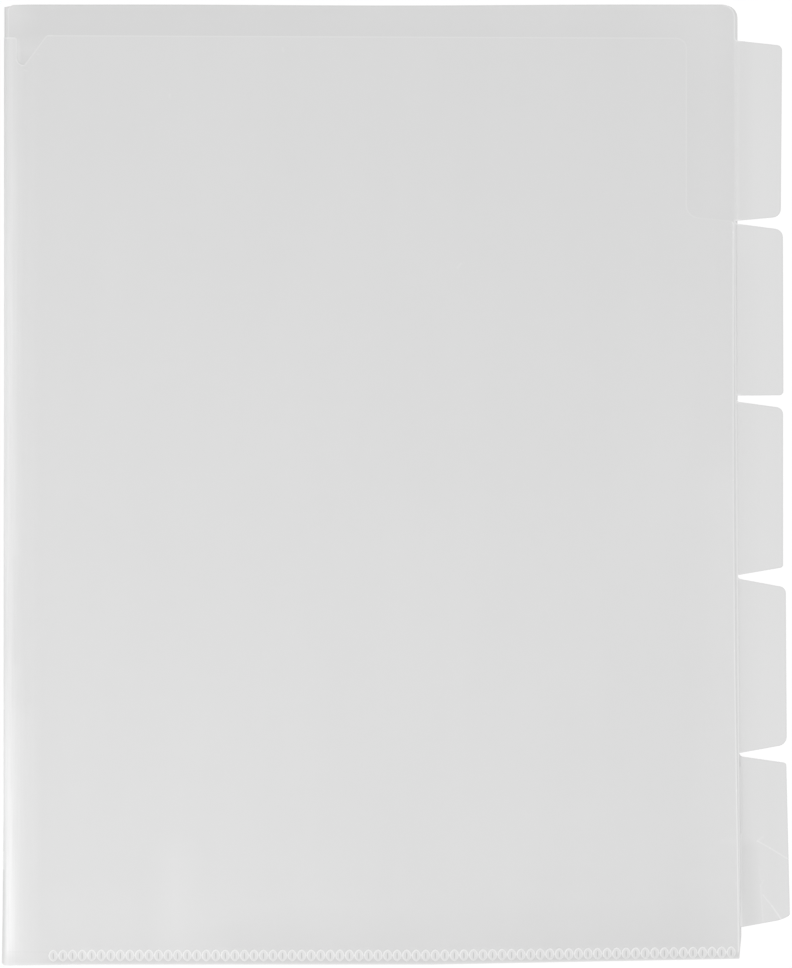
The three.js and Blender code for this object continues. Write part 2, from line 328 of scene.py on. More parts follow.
# The fused margin: a darker line just above the cut edge and a faint pale step where the plies part,
# by the share of its height above the edge.
weldLook = {
    "height": 0.01,             # metres
    "start": (12, 16),          # beside the fold it fades in
    "dark": [(0.0, 0.1), (0.06, 0.35), (0.11, 1.0), (0.16, 0.8), (0.22, 0.12), (0.3, 0.0)],
    "pale": [(0.0, 0.0), (0.18, 0.2), (0.3, 0.9), (0.4, 0.6), (0.52, 0.0)],
    "darkTone": 0.62,
    "darkAmount": 0.5,
    "paleTone": 0.82,
    "paleAmount": 0.05,
}


def weldToneGroup():
    group, start, end = newGroup(
        "weldTone", [("Vector", "NodeSocketVector", None)],
        [("Dark", "NodeSocketFloat"), ("Pale", "NodeSocketFloat")])
    x, y = axesOf(group, start.outputs["Vector"])
    past = mathNode(group, "MAXIMUM", mathNode(group, "SUBTRACT", x, place(seamKink, 0, 0).x), 0.0)
    rise = mathNode(group, "MULTIPLY", past, seamRise / (bodyWidth - seamKink))
    height = mathNode(group, "SUBTRACT", mathNode(group, "SUBTRACT", y, place(0, 0, 0).y), rise)
    share = rangeNode(group, height, 0.0, weldLook["height"])
    right = rangeNode(group, x, *(place(stop, 0, 0).x for stop in weldLook["start"]))
    dark = rampNode(group, share, weldLook["dark"])
    pale = rampNode(group, share, weldLook["pale"])
    group.links.new(mathNode(group, "MULTIPLY", dark, right), end.inputs["Dark"])
    group.links.new(mathNode(group, "MULTIPLY", pale, right), end.inputs["Pale"])
    return group


# Painted shade: the stack of sheets shades the roots of the tabs beside it, and this darkens their colour
# there.
rootShadeLook = {
    "start": -0.2,              # from the body's width
    "reach": 8.0,
    "profile": [(0.0, 0.0), (0.06, 1.0), (0.35, 0.72), (1.0, 0.0)],
    "tone": 0.62,
    "amount": 0.25,
}


def tabRootShadeGroup():
    group, start, end = newGroup(
        "tabRoot", [("Vector", "NodeSocketVector", None), ("Reach", "NodeSocketFloat", 8.0)],
        [("Mask", "NodeSocketFloat")])
    x = axesOf(group, start.outputs["Vector"])[0]
    out = mathNode(group, "SUBTRACT", x, place(bodyWidth + rootShadeLook["start"], 0, 0).x)
    share = mathNode(group, "DIVIDE", mathNode(group, "MULTIPLY", out, 1000.0), start.outputs["Reach"],
                     clamp=True)
    mask = rampNode(group, share, rootShadeLook["profile"], "LINEAR")
    group.links.new(mask, end.inputs["Mask"])
    return group


# Tells a cut edge that lies on the film below from one that is part of the folder's outline, so that each
# gets its own painted tone, pale as highlight and dark as shade. The stack's right edge begins and ends
# this far from the body's width.
stackEdge = {
    "start": (-6, -4),
    "end": (0.2, 1.4),
}


def freeEdgeGroup():
    group, start, end = newGroup(
        "freeEdge", [("Vector", "NodeSocketVector", None)],
        [("Covered", "NodeSocketFloat"), ("Free", "NodeSocketFloat")])
    x = axesOf(group, start.outputs["Vector"])[0]
    side = rangeNode(group, x, *(place(bodyWidth + step, 0, 0).x for step in stackEdge["start"]))
    out = rangeNode(group, x, *(place(bodyWidth + step, 0, 0).x for step in stackEdge["end"]))
    covered = mathNode(group, "MULTIPLY", side, mathNode(group, "SUBTRACT", 1.0, out))
    group.links.new(covered, end.inputs["Covered"])
    group.links.new(mathNode(group, "SUBTRACT", 1.0, covered), end.inputs["Free"])
    return group


filmGrain = filmGrainGroup()
foldPaleAndSheen = foldPaleAndSheenGroup()
crease = creaseGroup()
weldTone = weldToneGroup()
tabRoot = tabRootShadeGroup()
freeEdge = freeEdgeGroup()


# fold is how strong the folded film's pallor and painted highlight are, and root turns on the painted
# shade beside the stack. cut is the painted tone of a cut edge that lies on other film, and free that of
# one that stands alone: pale tones are painted highlight, dark ones painted shade.
def filmMaterial(name, colour, solid, fold=0.0, creases=(), weld=True, root=False, cut=None, free=None,
                 grain=0.012, cloud=0.02):
    material = bpy.data.materials.new(name)
    material.use_nodes = True
    tree = material.node_tree
    shader = tree.nodes["Principled BSDF"]
    where = tree.nodes.new("ShaderNodeTexCoord").outputs["Object"]

    def groupNode(group, **values):
        node = tree.nodes.new("ShaderNodeGroup")
        node.node_tree = group
        tree.links.new(where, node.inputs["Vector"])
        for label, value in values.items():
            node.inputs[label.replace("_", " ")].default_value = value
        return node

    def mixed(base, target, mask, amount):
        node = tree.nodes.new("ShaderNodeMix")
        node.data_type = "RGBA"
        tree.links.new(mathNode(tree, "MULTIPLY", mask, amount, clamp=True), socketOf(node, "Factor"))
        a, b = [s for s in node.inputs if s.name in ("A", "B") and s.enabled]
        tree.links.new(base, a)
        b.default_value = (target, target, target, 1)
        return next(s for s in node.outputs if s.name == "Result" and s.enabled)

    film = groupNode(filmGrain, Grain_Amount=grain, Cloud_Amount=cloud)
    tone = tree.nodes.new("ShaderNodeCombineColor")
    value = mathNode(tree, "MULTIPLY", film.outputs["Tone"], colour)
    for i in range(3):
        tree.links.new(value, tone.inputs[i])
    base = tone.outputs[0]
    # painted shade where the stack shades the tabs' roots
    if root:
        shade = groupNode(tabRoot, Reach=rootShadeLook["reach"])
        base = mixed(base, rootShadeLook["tone"], shade.outputs["Mask"], rootShadeLook["amount"])
    # a cut edge's painted tone: pale as highlight, dark as shade, set apart for edges on other film and
    # edges of the outline
    if cut is not None:
        freedom = groupNode(freeEdge)
        if cut != free:
            base = mixed(base, cut, freedom.outputs["Covered"], 1.0)
        base = mixed(base, free, freedom.outputs["Free"], 1.0)
    if weld:
        margin = groupNode(weldTone)
        base = mixed(base, weldLook["darkTone"], margin.outputs["Dark"], weldLook["darkAmount"])
        base = mixed(base, weldLook["paleTone"], margin.outputs["Pale"], weldLook["paleAmount"])
    # the folded film's pallor with its painted highlight
    if fold:
        pale = groupNode(foldPaleAndSheen, Amount=fold)
        base = mixed(base, foldLook["tone"], pale.outputs["Mask"], 1.0)
    for fromPoint, toPoint, width, amount, target in creases:
        low = place(fromPoint[0], fromPoint[1], 0)
        reach = place(toPoint[0], toPoint[1], 0) - low
        line = groupNode(crease, From=(low.x, low.y, 0), Reach=(reach.x, reach.y, 0), Width=width / 1000)
        base = mixed(base, target, line.outputs["Mask"], amount)
    tree.links.new(base, shader.inputs["Base Color"])
    spread = filmLook["roughnessSpread"]
    smoothest = filmLook["roughness"] - spread / 2
    rough = mathNode(tree, "MULTIPLY_ADD", film.outputs["Height"], spread, smoothest)
    tree.links.new(rough, shader.inputs["Roughness"])
    shader.inputs["IOR"].default_value = filmLook["ior"]
    bump = tree.nodes.new("ShaderNodeBump")
    bump.inputs["Strength"].default_value = filmLook["bumpStrength"]
    bump.inputs["Distance"].default_value = filmLook["bumpDistance"]
    tree.links.new(film.outputs["Height"], bump.inputs["Height"])
    tree.links.new(bump.outputs[0], shader.inputs["Normal"])
    # Each ply is counted once, on the side that faces the viewer, and lets most lamp light through.
    rays = tree.nodes.new("ShaderNodeLightPath")
    lamp = mathNode(tree, "MAXIMUM", rays.outputs["Is Shadow Ray"], rays.outputs["Is Diffuse Ray"])
    lampShare = filmLook["lampShare"] if cut is None else filmLook["edgeLampShare"]
    share = mathNode(tree, "MULTIPLY_ADD", lamp, solid * lampShare - solid, solid)
    back = tree.nodes.new("ShaderNodeNewGeometry").outputs["Backfacing"]
    front = mathNode(tree, "SUBTRACT", 1.0, back)
    if fold:
        share = mathNode(tree, "MULTIPLY_ADD", pale.outputs["Mask"], foldLook["hides"], share)
    tree.links.new(mathNode(tree, "MULTIPLY", share, front), shader.inputs["Alpha"])
    return material


def pixelPoint(px, py):         # a place read off the photograph, on the back film
    scale = cameraSetup["backPixelsPerMm"]
    x, y = cameraSetup["middle"]
    right = px - cameraSetup["imageWidth"] / 2
    up = cameraSetup["imageHeight"] / 2 - py
    return x + right / scale, y + up / scale


# A line on the film: its ends in the photograph, its width in millimetres, how strong it is and its tone.
def scratch(x0, y0, x1, y1, width, amount, target=0.9):
    return pixelPoint(x0, y0), pixelPoint(x1, y1), width, amount, target


tabCreasesAndShade = [                  # the creases in the lowest tab, with painted shade and a painted highlight beside the stack
    scratch(757.5, 841, 770, 848, 0.36, 0.42),
    scratch(770, 848, 787, 858.5, 0.36, 0.45),
    scratch(757.5, 841, 763, 837, 0.5, 0.22),
    scratch(760.5, 886, 763, 921, 0.38, 0.26),
    scratch(760.5, 886, 763.5, 880, 0.4, 0.16),
    scratch(763, 895, 772, 906, 0.36, 0.42),
    scratch(772, 906, 781, 919, 0.4, 0.6),
    scratch(758.5, 866, 761, 880, 0.4, 0.1),
    scratch(738, 776, 743, 850, 3.6, 1.0, 0.685),  # painted shade: the stack's shadow darkens the root beside it
    scratch(744.5, 852, 748.5, 920, 4.8, 1.25, 0.655),
    scratch(769, 775, 773, 925, 9.0, 0.16, 0.62),
    scratch(739.4, 768, 739.8, 835, 0.7, 0.75, 0.9),  # and a painted highlight along its foot, lifting the shade the stack casts there
    scratch(740.0, 835, 740.5, 925, 0.75, 1.0, 0.9),
]
coverGlints = [                 # where the cut film catches the light, at the spine's end and in the notch
    scratch(4, 38, 14, 38, 0.6, 0.32, 0.98),
    scratch(18.5, 61.5, 20.5, 64.2, 0.5, 0.4, 0.98),
    scratch(20.5, 64.2, 23.5, 65.8, 0.5, 0.5, 0.98),
    scratch(47, 36, 53, 36, 0.45, 0.2, 0.98),
    scratch(732.7, 238, 733.3, 480, 0.6, 0.4, 0.98),
    scratch(732.2, 223, 733.6, 228, 0.4, 0.7, 0.98),
    scratch(733.6, 228, 732.6, 233, 0.4, 0.6, 0.98),
    scratch(732.6, 233, 733.2, 238, 0.4, 0.6, 0.98),
    scratch(697, 217.3, 731, 221.0, 0.8, 0.7, 0.755),
    scratch(733.3, 480, 734.1, 650, 0.6, 0.42, 0.98),
    scratch(734.1, 650, 735.9, 790, 0.6, 0.45, 0.98),
    scratch(735.9, 790, 738.2, 950, 0.6, 0.5, 0.98),
]
sheetSheenAndShade = [                   # painted light and shade on the dividers: sheen at the stack's top left corner, pale patches that lift the cover's shade beside the notch, broad pale patches along its top and right, a pale line along the first tab's foot and painted shade beside it
    # painted sheen where the sheets curve at the top left corner
    scratch(8, 6, 12, 40, 5.0, 0.12, 0.95),
    scratch(8, 6, 20, 16, 7.0, 0.16, 0.95),
    scratch(17.5, 42, 18.5, 60, 1.2, 0.3, 0.95),
    scratch(20, 50, 42, 50, 5.0, 0.14, 0.95),
    scratch(743, 30, 743, 215, 3.2, 0.25, 0.6),
    scratch(735.2, 30, 735.6, 222, 0.8, 0.3, 0.95),
    scratch(740.4, 44, 740.4, 216, 0.5, 0.15, 0.6),
    scratch(712, 10, 712, 205, 24.0, 0.14, 0.95),
    scratch(560, 6, 700, 12, 24.0, 0.1, 0.95),
    scratch(380, 8, 500, 8, 26.0, 0.06, 0.95),
]
sheetEnds = [                   # at the fold a pale line paints over the dividers' edges and the shade beside them, so they don't show
    scratch(8, 3, 8, 40, 1.4, 0.4, 0.95),
]
coverMarksAndPaintedLight = [                  # specks, small scratches, a crease and a smudge on the cover; painted reflections in the ripples above the weld; painted highlight and shade along the fold; and broad, faint pale and darker patches
    scratch(457, 268, 461, 264, 0.45, 0.2),
    scratch(283, 49, 283.5, 52, 0.5, 0.2),
    scratch(170, 95, 170.5, 98, 0.5, 0.18),
    scratch(25, 71, 27.5, 72, 0.5, 0.25),
    scratch(38, 55, 40, 55.5, 0.45, 0.16),
    scratch(10, 950.5, 52, 951.5, 0.5, 0.1, 0.58),
    # painted reflections: pale streaks where the ripples above the weld catch the light
    scratch(175, 860, 177, 930, 10.0, 0.09, 0.98),
    scratch(135, 870, 140, 935, 9.0, 0.05, 0.62),
    scratch(60, 905, 60, 935, 8.0, 0.05, 0.98),
    scratch(722, 840, 735, 840, 1.5, 0.08, 0.98),
    scratch(100, 948, 205, 948, 13.0, 0.1, 0.62),
    scratch(250, 948, 400, 948, 14.0, 0.28, 0.62),
    scratch(445, 947, 700, 943, 14.0, 0.2, 0.62),
    scratch(400, 810, 420, 900, 30.0, 0.08, 0.62),
    scratch(560, 960, 740, 960, 44.0, 0.14, 0.62),
    scratch(735, 60, 735, 420, 36.0, 0.03, 0.98),
    scratch(690, 360, 680, 560, 34.0, 0.06, 0.98),
    # painted highlight beside the fold, low down
    scratch(24, 720, 24, 960, 6.0, 0.1, 0.98),
    # painted highlight along the fold's outer edge
    scratch(4.8, 190, 4.8, 380, 0.5, 0.35, 0.98),
    scratch(4.6, 470, 4.6, 700, 0.4, 0.2, 0.62),  # the fold's outer edge turns away from the light
    scratch(4.4, 710, 4.0, 850, 0.5, 0.5, 0.62),
    scratch(4.2, 870, 3.6, 962, 0.6, 0.5, 0.62),
    scratch(17, 560, 17, 660, 2.2, 0.1, 0.62),
    scratch(735, 490, 738, 930, 16.0, 0.12, 0.98),
]
colour = filmLook["colour"]
coverColour = filmLook["coverColour"]
solid = filmLook["solid"]
edgeTone = filmLook["edgeTone"]
coverEdgeTone = filmLook["coverEdgeTone"]
backFilm = filmMaterial("back_film", colour, solid, fold=foldLook["backAmount"], creases=tabCreasesAndShade,
                        root=True)
backEdge = filmMaterial("back_film_cut_edge", edgeTone, solid, creases=tabCreasesAndShade,
                        cut=edgeTone, free=edgeTone)
dividerFilm = filmMaterial("divider_film", colour, solid, creases=sheetSheenAndShade, root=True,
                           cloud=filmLook["dividerCloud"])
dividerEdge = filmMaterial("divider_film_cut_edge", colour, solid, creases=sheetSheenAndShade + sheetEnds,
                           cut=filmLook["dividerEdgeTone"], free=edgeTone)
coverFilm = filmMaterial("cover_film", coverColour, solid, fold=1.0, creases=coverMarksAndPaintedLight)
coverEdge = filmMaterial("cover_film_cut_edge", coverEdgeTone, solid, fold=1.0, creases=coverGlints,
                         cut=coverEdgeTone, free=coverEdgeTone)
print("film finishes made")


# ---- sheets
def seamAt(x):
    return seamRise * max(x - seamKink, 0) / (bodyWidth - seamKink)


def roundCorners(bm, corners):
    verts = [bm.verts.new((x, y, 0)) for x, y, r in corners]
    bm.faces.new(verts)
    for vert, (x, y, r) in zip(verts, corners):
        if r > 0:
            bmesh.ops.bevel(bm, geom=[vert], offset=r, offset_type="OFFSET",
                            segments=folder["cornerSteps"], profile=0.5, affect="VERTICES", material=-1)


def cutAcross(bm, places, normal):
    for stop in places:
        bmesh.ops.bisect_plane(bm, geom=bm.verts[:] + bm.edges[:] + bm.faces[:], dist=1e-4,
                               plane_co=Vector(normal) * stop, plane_no=normal)


def evenStops(low, high, step):
    count = max(int(round((high - low) / step)), 1)
    return [low + (high - low) * (i + 0.5) / count for i in range(count)]


def tabCorners(index, rightAt):
    tab = folder["tabs"][index]
    high = tab["top"]
    low = tab["bottom"]
    drop = tab["reach"] * math.tan(math.radians(tab["upper"]))
    rise = tab["reach"] * math.tan(math.radians(tab["lower"]))
    outer = bodyWidth + tab["reach"]
    upperRound, lowerRound = tab["rounds"]
    outerLow = outer + tab["lean"]
    tip = [(outerLow, low + rise, lowerRound)]
    if "cut" in tab:
        across, up = tab["cut"]
        slant = rise / tab["reach"]
        tip = [(outerLow - across, low + rise - (across - tab["lean"]) * slant, tab["cutRound"]),
               (outerLow, low + rise + up, lowerRound)]
    return [
        (rightAt(low), low, 0),
        *tip,
        (outer, high - drop, upperRound),
        (rightAt(high), high, folder["tabRoot"]),
    ]


# A sheet's outline from its lower left corner, each corner with its radius.
def sheetCorners(left, leftRound, right, flare, flareHeight, tabIndex):
    def rightAt(y):
        return right + flare * max(0, 1 - y / flareHeight)
    side = tabCorners(tabIndex, rightAt)
    if flareHeight > side[-1][1]:
        side.append((right, flareHeight, 0))
    return [
        (left, 0, 0),
        (seamKink, 0, 0),
        (folder["seamEnd"], seamAt(folder["seamEnd"]), folder["seamEndRound"]),
        (rightAt(folder["seamEndHeight"]), folder["seamEndHeight"], 0),
        *side,
        (right, bodyHeight, folder["cornerRound"]),
        (left, bodyHeight, leftRound),
    ]


topEdge = {                     # it falls towards the fold, and a little in the middle
    "cornerDrop": 0.62,
    "cornerReach": 2.0,
    "middleDrop": 0.3,
    "middle": 120.0,
    "middleReach": 75.0,
    "depth": 30.0,              # the film below it follows this far down
}


def topDrop(x, y):
    middle = 1 - smooth(0, topEdge["middleReach"], abs(x - topEdge["middle"]))
    corner = math.exp(-max(x, 0) / topEdge["cornerReach"])
    drop = topEdge["cornerDrop"] * corner + topEdge["middleDrop"] * middle
    return drop * smooth(bodyHeight - topEdge["depth"], bodyHeight, y)


def meshObject(name, bm, materials, sharpAngle):
    mesh = bpy.data.meshes.new(name)
    bm.to_mesh(mesh)
    bm.free()
    mesh.shade_smooth()
    mesh.set_sharp_from_angle(angle=math.radians(sharpAngle))
    for material in materials:
        mesh.materials.append(material)
    piece = bpy.data.objects.new(name, mesh)
    bpy.context.scene.collection.objects.link(piece)
    print("%s: %d faces" % (name, len(mesh.polygons)))
    return piece


# A closed film from its outline: the upper and lower skin, with the net that shape bends, and the cut edge
# with its own finish on both skins and round the side.
def buildSheet(name, corners, shape, materials, fineColumns=(), fineRows=()):
    bm = bmesh.new()
    roundCorners(bm, corners)
    bmesh.ops.recalc_face_normals(bm, faces=bm.faces[:])
    if bm.faces[0].normal.z < 0:
        bmesh.ops.reverse_faces(bm, faces=bm.faces[:])
    ring = bmesh.ops.inset_region(bm, faces=bm.faces[:], thickness=folder["cutEdge"], use_boundary=True,
                                  use_even_offset=True)["faces"]
    for face in ring:
        face.material_index = 1
    xs = [v.co.x for v in bm.verts]
    ys = [v.co.y for v in bm.verts]
    cutAcross(bm, evenStops(min(xs), max(xs), folder["grid"]) + list(fineColumns), (1, 0, 0))
    cutAcross(bm, evenStops(min(ys), max(ys), folder["grid"]) + list(fineRows), (0, 1, 0))
    under = {}
    for vert in bm.verts:
        top, bottom = shape(vert.co.x, vert.co.y)
        under[vert] = bottom
        vert.co = top
    lower = bmesh.ops.duplicate(bm, geom=bm.verts[:] + bm.edges[:] + bm.faces[:])
    matches = lower["vert_map"]
    for vert, bottom in under.items():
        matches[vert].co = bottom
    lowerFaces = [f for f in lower["geom"] if isinstance(f, bmesh.types.BMFace)]
    bmesh.ops.reverse_faces(bm, faces=lowerFaces)
    rim = [e for e in bm.edges if e.is_boundary]
    sides = bmesh.ops.bridge_loops(bm, edges=rim)["faces"]
    for face in sides:
        face.material_index = 1
    bmesh.ops.recalc_face_normals(bm, faces=bm.faces[:])
    return meshObject(name, bm, materials, sharpAngle=40)


fusing = {                      # where the plies come together, and how they lie once they have
    "fromEdge": (5.0, 26.0),
    "fromFold": (8.0, 26.0),
    "pitch": 0.205,
    "base": 0.02,
    "coverPly": 5,
}


# How far the plies have come together at a point: 0 in the open stack, 1 in the fused margin.
def fused(x, y):
    return (1 - smooth(*fusing["fromEdge"], y - seamAt(x))) * smooth(*fusing["fromFold"], x)


def fusedLevel(ply):
    return ply * fusing["pitch"] + fusing["base"]


def liesFlat(level, ply):
    def shape(x, y):
        z = level + (fusedLevel(ply) - level) * fused(x, y)
        y = y - topDrop(x, y)
        return place(x, y, z + folder["film"]), place(x, y, z)
    return shape


spine = {
    "radius": 1.8,
    "settle": 9.3,              # where the cover has come down onto the sheets
    "coverTop": 2.7,
    "endRound": 1.1,            # the fold's corner at the bottom
    "endHeight": 6.0,
    "splay": 0.65,              # the weld beside it pushes the fold's lower end outwards
    "splayHeight": 48.0,
    "splayPower": 1.2,
    "bow": 0.1,                 # and its lower half stands out a little
    "bowEnd": (130.0, 190.0),
    "relax": 0.78,              # past the cover's top edge the fold has relaxed by this share
    "relaxFrom": (286.5, 288.5),
}


def rampHeight(x):              # the cover's upper face between the fold's crest and the sheets
    r = spine["radius"]
    return 2 * r + (spine["coverTop"] - 2 * r) * smooth(r, spine["settle"], x)


def roundedEnd(x, y):           # both films' bottom corner is rounded at the fold
    r = spine["endRound"]
    rise = r - math.sqrt(max(r * r - (r - min(x, r)) ** 2, 0.0))
    return y + rise * (1 - smooth(0.0, spine["endHeight"], y))


def splayed(x, y):
    low = max(0.0, 1 - y / spine["splayHeight"]) ** spine["splayPower"]
    out = spine["splay"] * low + spine["bow"] * (1 - low) * (1 - smooth(*spine["bowEnd"], y))
    return x - out * (1 - smooth(spine["radius"], spine["settle"], x))


def coverHeight(x, y):          # the cover's upper face everywhere
    top = rampHeight(x)
    return top + (fusedLevel(fusing["coverPly"]) + folder["film"] - top) * fused(x, y)


# The film is laid out flat, then its left end is rolled round the fold.
def frontShape(u, y):
    r = spine["radius"]
    film = folder["film"]
    if u < r:
        turn = (r - u) / r
        x, z = r - r * math.sin(turn), r + r * math.cos(turn)
        inX, inZ = r - (r - film) * math.sin(turn), r + (r - film) * math.cos(turn)
        end = roundedEnd(x, y)
        return place(splayed(x, y), end, z), place(splayed(inX, y), end, inZ)
    top = coverHeight(u, y)
    x = splayed(u, y)
    return place(x, y, top), place(x, y, top - film)


def backShape(u, y):
    r = spine["radius"]
    film = folder["film"]
    turn = max(r - u, 0) / r
    x = r - r * math.sin(turn) if turn else u
    if u < r:
        lift = 1 - spine["relax"] * smooth(*spine["relaxFrom"], y)
        z = (r - r * math.cos(turn)) * lift
        inX, inZ = r - (r - film) * math.sin(turn), (r - (r - film) * math.cos(turn) - film) * lift + film
        end = roundedEnd(x, y) - topDrop(x, y)
        return place(splayed(inX, y), end, inZ), place(splayed(x, y), end, z)
    x = splayed(u, y)
    y = y - topDrop(u, y)
    return place(x, y, film), place(x, y, 0)


foldStart = spine["radius"] - spine["radius"] * math.pi / 2
# where the films' nets are finer: above the fused margin, at the bottom edge, where the fold relaxes,
# round the fold, and where the dividers leave it
weldRows = [4.5 + i * 1.5 for i in range(14)]
endRows = [0.7, 1.4, 2.4, 3.4]
relaxRows = [286.5, 287.0, 287.5, 288.0, 288.5]
foldColumns = [foldStart + 0.3 * i for i in range(1, 14)] + [3.4 + 0.75 * i for i in range(16)]
dividerColumns = [9.5, 11.0, 12.5, 14.0]

backCorners = sheetCorners(foldStart, 0, bodyWidth, folder["flare"], folder["flareHeight"],
                           folder["dividers"])
backCover = buildSheet("back_cover_film", backCorners, backShape, [backFilm, backEdge],
                       foldColumns, endRows + relaxRows)
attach(backCover, "root")
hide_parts("back_cover", "spine_fold_back")


def flexes(sheet):
    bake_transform(sheet)


for number in range(1, folder["dividers"] + 1):  # from the top of the stack down
    ply = folder["dividers"] + 1 - number
    corners = sheetCorners(folder["dividerLeft"], folder["dividerLeftRound"],
                           bodyWidth - folder["dividerInset"], folder["dividerFlare"],
                           folder["dividerFlareHeight"], number - 1)
    sheet = buildSheet("divider_%d_film" % number, corners, liesFlat(ply * folder["pitch"], ply),
                       [dividerFilm, dividerEdge], dividerColumns, weldRows)
    flexes(sheet)
    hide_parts("divider_%d" % number, "divider_%d_corner" % number)

cover = {
    "right": 226.8,
    "top": 288.1,
    "topSlope": 0.8,            # its top edge rises to the left
    "flare": 1.85,
    "flareRound": 30.0,
    "stepBottom": 231.20,
    "stepLeft": 212.25,
    "stepSlant": 1.45,
    "stepRound": 3.3,
    "stepRootRound": 1.0,
    "notchLeft": 4.2,
    "notchFloor": 279.6,
    "notchCorner": 6.4,
    "notchRight": 13.3,
    "notchTopRound": 0.7,
    "notchCornerRound": 0.25,
    "notchFloorRound": 1.9,
}
coverCorners = [
    (foldStart, 0, 0),
    (seamKink, 0, 0),
    (cover["right"] + cover["flare"], seamAt(cover["right"] + cover["flare"]), 0),
    (cover["right"], folder["flareHeight"], cover["flareRound"]),
    (cover["right"], cover["stepBottom"], cover["stepRootRound"]),
    (cover["stepLeft"], cover["stepBottom"] + cover["stepSlant"], cover["stepRound"]),
    (cover["stepLeft"], cover["top"], cover["stepRound"]),
    (cover["notchRight"], cover["top"] + cover["topSlope"], cover["notchTopRound"]),
    (cover["notchCorner"], cover["notchFloor"], cover["notchCornerRound"]),
    (cover["notchLeft"], cover["notchFloor"], cover["notchFloorRound"]),
    (cover["notchLeft"], cover["top"], cover["notchTopRound"]),
    (foldStart, cover["top"], 0),
]
frontCover = buildSheet("front_cover_film", coverCorners, frontShape, [coverFilm, coverEdge],
                        foldColumns, weldRows + endRows)
flexes(frontCover)
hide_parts("front_cover", "front_cover_corner", "spine_fold_front")

# ---- weld marks: a row of small eyes, each a pale raised rim round a dark slot
marks = {
    "first": 15.37,
    "pitch": 2.968,
    "count": 72,
    "centre": 2.85,
    "rise": 0.55,               # the row climbs to the right by this share of the edge's own rise
    "slotCentre": 2.73,
    "steps": 12,
    "halfWidth": 1.46,
    "halfHeight": 1.87,
    "pinch": 0.2,               # how much the disc is narrowed towards the lens's tips
    "slopes": ((0.36, 0.14, 0), (0.28, 0.02, 2)),  # the rim's two slopes: width, height at its end, finish
    "slotLip": 0.02,
    "slotHalfWidth": 0.21,
    "slotHalfHeight": 1.0,
    "slotFullness": 0.5,
    "slotLift": 0.04,
    "base": -0.24,              # inside the fused plies, below their surface
    "surface": 0.02,
    "order": (1.0, 0.37, 0.0713),  # an eye's parts are put in order along this
    "rim": {"colour": 0.90, "solid": 0.92, "grain": 0.03, "cloud": 0.05},
    "slot": {"colour": 0.57, "solid": 0.9, "grain": 0.02, "cloud": 0.02},
    "hollow": {"colour": 0.775, "solid": 0.9, "grain": 0.02, "cloud": 0.02},
}
rimShade = [                    # the lower half of each rim turns away from the light
    scratch(40, 960, 427, 960, 1.7, 0.75, 0.74),
    scratch(427, 960, 740, 956.8, 1.7, 0.75, 0.74),
]
rimFilm = filmMaterial("weld_rim", **marks["rim"], creases=rimShade, weld=False)
slotFilm = filmMaterial("weld_slot", **marks["slot"], weld=False)
hollowFilm = filmMaterial("weld_hollow", **marks["hollow"], weld=False)


def vertsIn(geometry):
    return [v for v in geometry if isinstance(v, bmesh.types.BMVert)]


def weldMarks(m):
    bm = bmesh.new()
    # one eye: a disc pulled into a lens, then a rim and a slot set into it
    bmesh.ops.create_circle(bm, cap_ends=True, segments=m["steps"], radius=1.0)
    for vert in bm.verts:
        x, y = vert.co.x, vert.co.y
        narrow = x * abs(x) ** m["pinch"] if x else 0.0
        vert.co = Vector((narrow * m["halfWidth"], y * m["halfHeight"], m["surface"]))
    top = next(iter(bm.faces))
    for width, lift, finish in m["slopes"]:
        slope = bmesh.ops.inset_region(bm, faces=[top], thickness=width, use_boundary=True,
                                       use_even_offset=True)
        for face in slope["faces"]:
            face.material_index = finish
        for vert in top.verts:
            vert.co.z = m["surface"] + lift
    hollow = bmesh.ops.inset_region(bm, faces=[top], thickness=m["slotLip"], use_boundary=True)["faces"]
    for face in hollow:
        face.material_index = 2
    width = max(abs(v.co.x) for v in top.verts)
    height = max(abs(v.co.y) for v in top.verts)
    for vert in top.verts:
        full = abs(vert.co.x / width) ** m["slotFullness"]
        vert.co.x = math.copysign(full * m["slotHalfWidth"], vert.co.x)
        vert.co.y = vert.co.y * m["slotHalfHeight"] / height + m["slotCentre"] - m["centre"]
        vert.co.z = m["surface"] + m["slotLift"]
    top.material_index = 1
    outer = [e for e in bm.edges if e.is_boundary]
    skirt = bmesh.ops.extrude_edge_only(bm, edges=outer)["geom"]
    for vert in vertsIn(skirt):
        vert.co.z = m["base"]
    bmesh.ops.contextual_create(bm, geom=[e for e in bm.edges if e.is_boundary])
    bmesh.ops.recalc_face_normals(bm, faces=bm.faces[:])
    # the skirt's parts come in another order each run
    order = Vector(m["order"])
    bm.verts.sort(key=lambda v: v.co.dot(order))
    bm.edges.sort(key=lambda e: (e.verts[0].co + e.verts[1].co).dot(order))
    bm.faces.sort(key=lambda f: f.calc_center_median().dot(order))
    eye = bm.verts[:] + bm.edges[:] + bm.faces[:]
    for i in range(m["count"]):
        middle = m["first"] + i * m["pitch"]
        for vert in vertsIn(bmesh.ops.duplicate(bm, geom=eye)["geom"]):
            x, y = middle + vert.co.x, seamAt(middle) * m["rise"] + m["centre"] + vert.co.y
            vert.co = place(x, y, coverHeight(x, y) + vert.co.z)
    bmesh.ops.delete(bm, geom=vertsIn(eye), context="VERTS")
    return meshObject("weld_marks", bm, [rimFilm, slotFilm, hollowFilm], sharpAngle=50)


weldRow = weldMarks(marks)
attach(weldRow, "root")
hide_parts("bottom_weld")

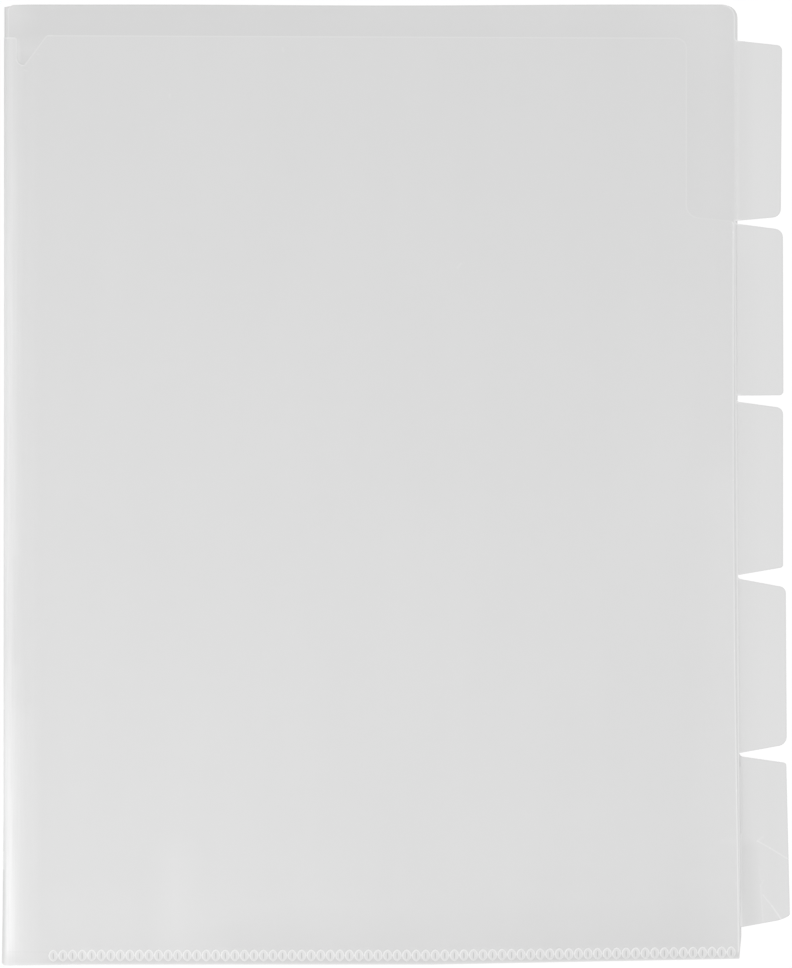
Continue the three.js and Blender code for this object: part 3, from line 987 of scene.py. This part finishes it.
# ---- floor, world and lamps
room = {                        # in metres and watts
    "floorSize": 6.0,
    "floorGap": 0.0001,         # it lies this far below the back film
    "floorTone": 0.9,
    "floorRoughness": 0.9,
    "floorGlow": 1.02,          # the camera sees it as the photograph's plain white
    "floorGlowShare": 0.95,
    "worldLevel": 0.55,
    "overhead": {"place": (0.0, 0.1, 1.75), "size": 1.2, "power": 8.5},
    "lowerLeft": {"place": (-0.38, -0.52, 0.6), "size": 0.4, "power": 1.6},
}


def whiteToTheCamera(tree, rays):
    sight = mathNode(tree, "MAXIMUM", rays.outputs["Is Camera Ray"], rays.outputs["Is Glossy Ray"])
    return mathNode(tree, "MAXIMUM", sight, rays.outputs["Is Transmission Ray"])


def makeFloor(r):
    bm = bmesh.new()
    bmesh.ops.create_grid(bm, x_segments=1, y_segments=1, size=r["floorSize"] / 2)
    mesh = bpy.data.meshes.new("floor")
    bm.to_mesh(mesh)
    bm.free()
    floor = bpy.data.objects.new("floor", mesh)
    floor.location.z = -r["floorGap"]
    bpy.context.scene.collection.objects.link(floor)
    material = bpy.data.materials.new("pale_floor")
    material.use_nodes = True
    tree = material.node_tree
    shader = tree.nodes["Principled BSDF"]
    shader.inputs["Base Color"].default_value = (r["floorTone"], r["floorTone"], r["floorTone"], 1)
    shader.inputs["Roughness"].default_value = r["floorRoughness"]
    glow = tree.nodes.new("ShaderNodeEmission")
    glow.inputs["Strength"].default_value = r["floorGlow"]
    mix = tree.nodes.new("ShaderNodeMixShader")
    rays = tree.nodes.new("ShaderNodeLightPath")
    share = mathNode(tree, "MULTIPLY", whiteToTheCamera(tree, rays), r["floorGlowShare"])
    tree.links.new(share, mix.inputs[0])
    tree.links.new(shader.outputs[0], mix.inputs[1])
    tree.links.new(glow.outputs[0], mix.inputs[2])
    tree.links.new(mix.outputs[0], tree.nodes["Material Output"].inputs["Surface"])
    mesh.materials.append(material)


def makeWorld(r):
    world = bpy.data.worlds.new("studio")
    world.use_nodes = True
    tree = world.node_tree
    background = tree.nodes["Background"]
    background.inputs["Color"].default_value = (1, 1, 1, 1)
    rays = tree.nodes.new("ShaderNodeLightPath")
    base = r["worldLevel"]
    level = mathNode(tree, "MULTIPLY_ADD", whiteToTheCamera(tree, rays), 1 - base, base)
    tree.links.new(level, background.inputs["Strength"])
    bpy.context.scene.world = world


def makeLamp(name, lamp):
    data = bpy.data.lights.new(name, "AREA")
    data.shape = "SQUARE"
    data.size = lamp["size"]
    data.energy = lamp["power"]
    light = bpy.data.objects.new(name, data)
    light.location = lamp["place"]
    aim = -Vector(lamp["place"])
    light.rotation_euler = aim.to_track_quat("-Z", "Y").to_euler()
    bpy.context.scene.collection.objects.link(light)


makeFloor(room)
makeWorld(room)
makeLamp("overhead", room["overhead"])
makeLamp("lower_left", room["lowerLeft"])
bpy.context.scene.view_settings.view_transform = "Standard"
print("room made")

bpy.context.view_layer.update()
